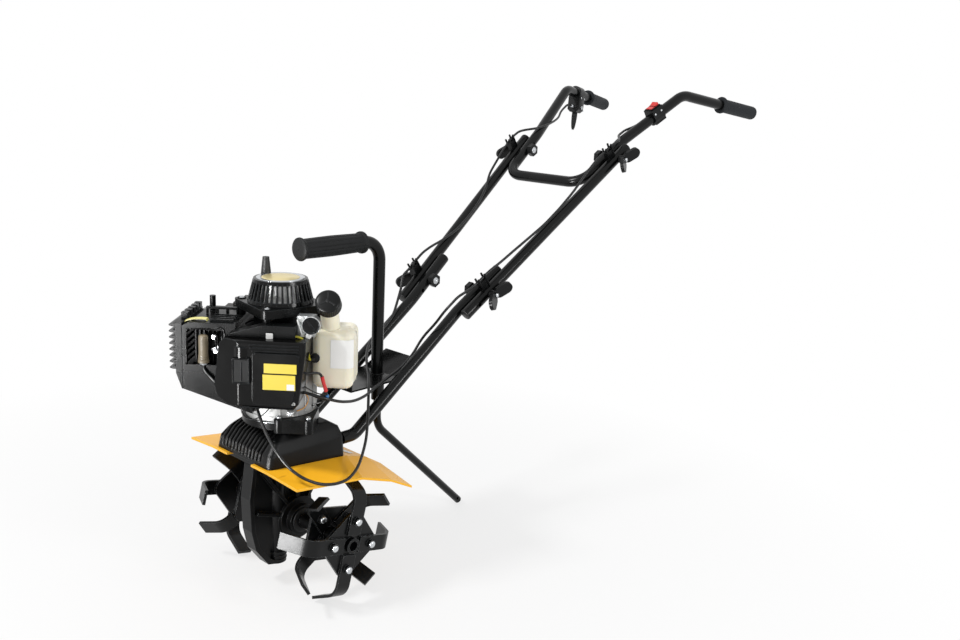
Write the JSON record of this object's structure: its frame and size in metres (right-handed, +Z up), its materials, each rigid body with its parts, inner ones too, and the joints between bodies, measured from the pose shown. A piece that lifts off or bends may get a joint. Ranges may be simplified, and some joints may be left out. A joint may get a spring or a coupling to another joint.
{
  "type": "mini tiller",
  "caption": "Walk-behind mini tiller: small two-stroke engine on a worm case with tine rotors, yellow deck, folding handlebar, carry handle and drag stake.",
  "frame": {"origin": "on the ground, midway between the rotors and straight under the tine axle", "axes": "+X forward (away from the operator), +Y to the machine's left, +Z up"},
  "size_m": [1.3485, 0.4562, 0.874],
  "materials": {
    "casting_black": "satin",
    "steel_grey": "satin",
    "deck_yellow": "satin",
    "plastic_black": "satin",
    "aluminium_cast": "cast",
    "boot_beige": "matt",
    "steel_dark": "dull",
    "plastic_gloss": "gloss",
    "tank_cream": "translucent",
    "paint_black": "semi-gloss",
    "grip_rubber": "matt",
    "cable_black": "satin",
    "rocker_red": "gloss"
  },
  "bodies": {
    "chassis": {"air_filter_box": "plastic_gloss", "carburettor": "aluminium_cast", "carry_grip": "grip_rubber", "carry_handle": "paint_black", "clutch_housing": "casting_black", "crankcase": "aluminium_cast", "cylinder": "aluminium_cast", "cylinder_shroud": "plastic_black", "deck": "deck_yellow", "drag_stake": "paint_black", "fold_bolts_lower": "plastic_black", "frame_tube_left": "paint_black", "frame_tube_right": "paint_black", "fuel_cap": "plastic_black", "fuel_tank": "tank_cream", "gear_case": "casting_black", "gear_cover": "plastic_black", "intake_duct": "plastic_black", "lead_on_frame": "cable_black", "muffler": "steel_dark", "saddle_plate": "paint_black", "shroud_grille": "plastic_black", "spark_plug_boot": "boot_beige", "starter_dome": "plastic_gloss", "starter_flange": "plastic_black", "starter_grip": "plastic_black", "throttle_on_frame": "cable_black"},
    "tine_rotor": {"rotor_left_inner": "paint_black", "rotor_left_outer": "paint_black", "rotor_right_inner": "paint_black", "rotor_right_outer": "paint_black", "tine_shaft": "steel_grey"},
    "middle_handle": {"cable_clips": "plastic_black", "fold_bolts_upper": "plastic_black", "lead_on_middle": "cable_black", "mid_tube_left": "paint_black", "mid_tube_right": "paint_black", "throttle_on_middle": "cable_black"},
    "upper_grip_bar": {"grip_left": "grip_rubber", "grip_right": "grip_rubber", "lead_on_handle": "cable_black", "stop_rocker": "rocker_red", "stop_switch": "plastic_black", "throttle_control": "plastic_black", "throttle_on_handle": "cable_black", "upper_handle": "paint_black"}
  },
  "joints": [
    {"name": "tine_spin", "type": "hinge", "parent": "chassis", "child": "tine_rotor", "pos_m": [0, 0, 0.1122], "axis": [0, 1, 0], "continuous": true},
    {"name": "handle_fold_lower", "type": "hinge", "parent": "chassis", "child": "middle_handle", "pos_m": [-0.387, 0, 0.4792], "axis": [0, 1, 0], "range_deg": [0, 110]},
    {"name": "handle_fold_upper", "type": "hinge", "parent": "middle_handle", "child": "upper_grip_bar", "pos_m": [-0.7271, 0, 0.72903], "axis": [0, 1, 0], "range_deg": [0, 135]}
  ]
}
